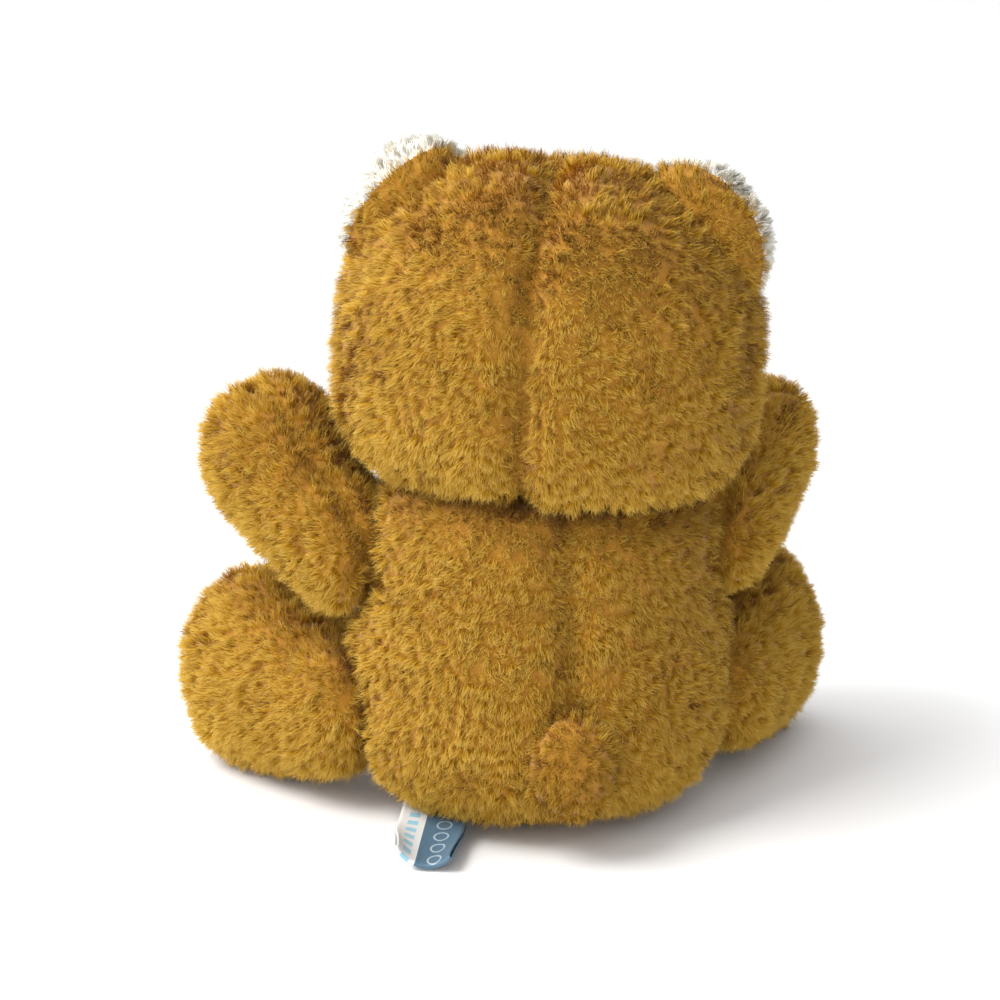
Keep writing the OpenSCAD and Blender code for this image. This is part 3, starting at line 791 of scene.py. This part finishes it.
def grow_ear(side, seed):
    back, lining = f"{side}_ear_back", f"{side}_ear_lining"
    front = unit(middle(lining) - middle(back))
    centre = (middle(back) + middle(lining)) / 2
    out = centre - middle("head_stuffing")
    out = unit(out - front * (out @ front))

    def past_rim(place):
        return np.maximum(0, (place - centre) @ out - 3 * MM) * EAR_OVERLAP[side]

    line_with(skins[f"{side}_ear"], [back, lining], cream_cloth, past_rim)
    comb = spreading(centre - out * 12 * MM, 0.3)
    for panel, style, finish, slot in (
        (back, EAR_PILE, golden_pile, "golden_plush"),
        (lining, LINING_PILE, cream_pile, "cream_plush"),
    ):
        grow(skins[f"{side}_ear"], [back, lining], "head", comb, style, finish, seed,
             sewn=HEAD_PANELS, only=panel, favour=past_rim)


grow_ear("left", 700)
grow_ear("right", 720)


# ------------------------------------------------------------------ label

LABEL_WIDTH = 20 * MM
LABEL_LENGTH = 76 * MM       # of the strip, before it is folded in two
LABEL_AT = np.array([31, 12, 6.5]) * MM
LABEL_TURN = math.radians(-18)
LABEL_SLOPE = math.radians(8)
LABEL_GAP = 1.1 * MM         # between its two layers
CURL_AT_SEAM = 0.2           # how far the strip's edges curl up, in radians across it
CURL_AT_FOLD = 2.3
CURL_MIDDLE = 0.42           # where across the strip it lies level
BLOCKS = 17.0                # printed along the strip
RINGS = 12.0
RING_PITCH = 6.33            # in mm
RING_INNER, RING_OUTER = 3.4, 5.6            # its radii squared, in mm2
BAND_EDGE = 0.6              # where across the strip the slate band ends


def label_material():
    """Woven satin: a white band with pale blocks, and a slate band with rows of rings."""
    made, tree, shader = material("label_weave")
    link = tree.links.new
    uv = add(tree, "ShaderNodeUVMap", uv_map="OFBake").outputs["UV"]
    split = add(tree, "ShaderNodeSeparateXYZ")
    link(uv, split.inputs["Vector"])
    across, length = split.outputs["X"], split.outputs["Y"]

    def math_node(kind, a, b=None, c=None):
        node = add(tree, "ShaderNodeMath", operation=kind)
        for socket, value in zip(node.inputs, (a, b, c)):
            if hasattr(value, "links"):
                link(value, socket)
            elif value is not None:
                socket.default_value = value
        return node.outputs["Value"]

    def between(value, low, high):
        return math_node("MULTIPLY", math_node("GREATER_THAN", value, low),
                         math_node("LESS_THAN", value, high))

    def mixed(a, b, factor):
        mix = add(tree, "ShaderNodeMix", data_type="RGBA")
        link(factor, mix.inputs[0])
        for socket, value in ((mix.inputs[6], a), (mix.inputs[7], b)):
            if hasattr(value, "links"):
                link(value, socket)
            else:
                socket.default_value = (*value, 1)
        return mix.outputs[2]

    # pale blocks of two widths, printed side by side on the white band
    row = math_node("FRACT", math_node("MULTIPLY", length, BLOCKS))
    wide = math_node("FRACT", math_node("MULTIPLY", length, BLOCKS / 2))
    block = math_node("MULTIPLY", between(row, 0.25, 0.8), between(across, 0.70, 0.86))
    block = math_node("MULTIPLY", block, math_node("GREATER_THAN", wide, 0.12))
    white = mixed((0.86, 0.87, 0.86), (0.36, 0.68, 0.84), block)
    # thin rings on the slate band
    x = math_node("SUBTRACT", math_node("MULTIPLY", across, 20.0), 6.2)
    turn = math_node("FRACT", math_node("MULTIPLY", length, RINGS))
    y = math_node("SUBTRACT", math_node("MULTIPLY", turn, RING_PITCH), RING_PITCH / 2)
    from_centre = math_node("ADD", math_node("POWER", x, 2.0), math_node("POWER", y, 2.0))
    ring = between(from_centre, RING_INNER, RING_OUTER)
    slate = mixed((0.075, 0.16, 0.24), (0.42, 0.52, 0.58), ring)
    band = math_node("GREATER_THAN", across, BAND_EDGE)
    printed = mixed(slate, white, band)
    # the weave: fine ribs across the strip, in relief and in tone
    weave = add(tree, "ShaderNodeTexWave", Scale=38.0, Distortion=0.4)
    weave.bands_direction = "Y"
    link(uv, weave.inputs["Vector"])
    tone = ramp(tree, [(0.0, (0.86, 0.86, 0.86)), (1.0, (1, 1, 1))], weave.outputs["Fac"])
    mix = add(tree, "ShaderNodeMix", data_type="RGBA", blend_type="MULTIPLY")
    mix.inputs[0].default_value = 1.0
    link(printed, mix.inputs[6])
    link(tone, mix.inputs[7])
    link(mix.outputs[2], shader.inputs["Base Color"])
    bump(tree, shader, weave.outputs["Fac"], 0.5, 0.0001)
    shader.inputs["Roughness"].default_value = 0.42
    shader.inputs["Sheen Weight"].default_value = 0.15
    return made


def label_strip():
    """The folded strip: flat where it is sewn in, with edges that curl up at the fold."""
    across, rows = 20, 76
    half = LABEL_LENGTH / 2
    fold = LABEL_GAP * math.pi / 2
    points, uvs = [], []
    for j in range(rows + 1):
        s = LABEL_LENGTH * j / rows
        if abs(s - half) < fold / 2:
            turn = (s - half) / fold * math.pi
            out = half - fold / 2 + LABEL_GAP / 2 * math.cos(turn)
            up = -LABEL_GAP / 2 * math.sin(turn)
        else:
            out = min(s, LABEL_LENGTH - s)
            up = LABEL_GAP / 2 if s < half else -LABEL_GAP / 2
        curl = CURL_AT_SEAM + (CURL_AT_FOLD - CURL_AT_SEAM) * smooth_step(out, 0.35 * half, half)
        radius = LABEL_WIDTH / curl
        for i in range(across + 1):
            u = i / across
            angle = curl * (u - CURL_MIDDLE)
            r = radius - up
            x = r * math.sin(angle)
            z = radius - r * math.cos(angle)
            y, z = (out * math.cos(LABEL_SLOPE) + z * math.sin(LABEL_SLOPE),
                    z * math.cos(LABEL_SLOPE) - out * math.sin(LABEL_SLOPE))
            x, y = (x * math.cos(LABEL_TURN) - y * math.sin(LABEL_TURN),
                    x * math.sin(LABEL_TURN) + y * math.cos(LABEL_TURN))
            point = LABEL_AT + np.array([x, y, z])
            point[2] = max(point[2], 0.3 * MM)
            points.append(point)
            uvs.append((u, s / LABEL_LENGTH))
    wide = across + 1
    faces = [(j * wide + i, j * wide + i + 1, (j + 1) * wide + i + 1, (j + 1) * wide + i)
             for j in range(rows) for i in range(across)]
    mesh = mesh_from("label_strip", points, faces)
    layer = mesh.uv_layers.new(name="OFBake")
    for loop in mesh.loops:
        layer.data[loop.index].uv = uvs[loop.vertex_index]
    mesh.shade_smooth()
    strip = new_object("label_strip", mesh)
    thick = strip.modifiers.new("Thick", "SOLIDIFY")
    thick.thickness = 0.35 * MM
    thick.offset = 0
    settle(strip)
    strip.data.materials.append(label_material())
    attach(strip, "torso")
    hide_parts("label_loop")


label_strip()

# ------------------------------------------------------------------ floor, light, camera

CAMERA_AROUND = 169          # degrees round the bear, from its front
CAMERA_ABOVE = 15            # degrees above the level
CAMERA_AWAY = 0.65
AIM = Vector((0, 0, 0.1))
AIM_LEFT = 0.0118            # the bear sits a little right of the frame's middle
AIM_DOWN = 0.0059
LENS = 79.56                 # on a 36 mm sensor


def place_camera():
    a, e = math.radians(CAMERA_AROUND), math.radians(CAMERA_ABOVE)
    back = Vector((math.sin(a) * math.cos(e), -math.cos(a) * math.cos(e), math.sin(e)))
    right = (-back).cross(Vector((0, 0, 1))).normalized()
    up = right.cross(-back)
    aim = AIM - right * AIM_LEFT - up * AIM_DOWN
    camera = bpy.data.objects.new("camera", bpy.data.cameras.new("camera"))
    camera.data.lens = LENS
    camera.data.sensor_width = 36
    camera.location = aim + back * CAMERA_AWAY
    camera.rotation_mode = "QUATERNION"
    camera.rotation_quaternion = (-back).to_track_quat("-Z", "Y")
    scene.collection.objects.link(camera)
    scene.camera = camera
    return right, back


def area_light(name, place, aim, size, power, colour):
    light = bpy.data.lights.new(name, "AREA")
    light.size = size
    light.energy = power
    light.color = colour
    obj = bpy.data.objects.new(name, light)
    obj.location = place
    obj.rotation_mode = "QUATERNION"
    obj.rotation_quaternion = (Vector(aim) - Vector(place)).to_track_quat("-Z", "Y")
    scene.collection.objects.link(obj)


right, back = place_camera()
area_light("key", AIM - right * 0.9 + Vector((0, 0, 1.1)) + back * 0.5, AIM,
           size=0.8, power=20, colour=(1, 0.98, 0.95))
area_light("fill", AIM + right * 1.2 + Vector((0, 0, 0.5)) + back * 0.4, AIM,
           size=1.2, power=0.5, colour=(0.95, 0.97, 1))

world = bpy.data.worlds.new("studio")
world.use_nodes = True
# a soft white studio, brighter on the side of the key light
shade = world.node_tree
shade_from = add(shade, "ShaderNodeTexCoord").outputs["Generated"]
toward_key = add(shade, "ShaderNodeVectorMath", operation="DOT_PRODUCT")
toward_key.inputs[1].default_value = -right
shade.links.new(shade_from, toward_key.inputs[0])
strength = add(shade, "ShaderNodeMapRange")
AWAY_FROM_KEY, TOWARD_KEY = 0.25, 1.85       # the studio's brightness on its two sides
for socket, value in (("From Min", -1.0), ("From Max", 1.0),
                      ("To Min", AWAY_FROM_KEY), ("To Max", TOWARD_KEY)):
    strength.inputs[socket].default_value = value
shade.links.new(toward_key.outputs["Value"], strength.inputs["Value"])
shade.links.new(strength.outputs["Result"], shade.nodes["Background"].inputs["Strength"])
shade.nodes["Background"].inputs["Color"].default_value = (1, 1, 1, 1)
scene.world = world
scene.view_settings.view_transform = "Standard"

FLOOR_REACH = 30
corners = [(x * FLOOR_REACH, y * FLOOR_REACH, 0) for x, y in ((-1, -1), (1, -1), (1, 1), (-1, 1))]
floor = new_object("floor", mesh_from("floor", corners, [(0, 1, 2, 3)]))
floor.data.materials.append(mottled("floor_paper", (0.94, 0.94, 0.94), (0.97, 0.97, 0.97),
                                    3, 0.95, 0.0001, "paper"))
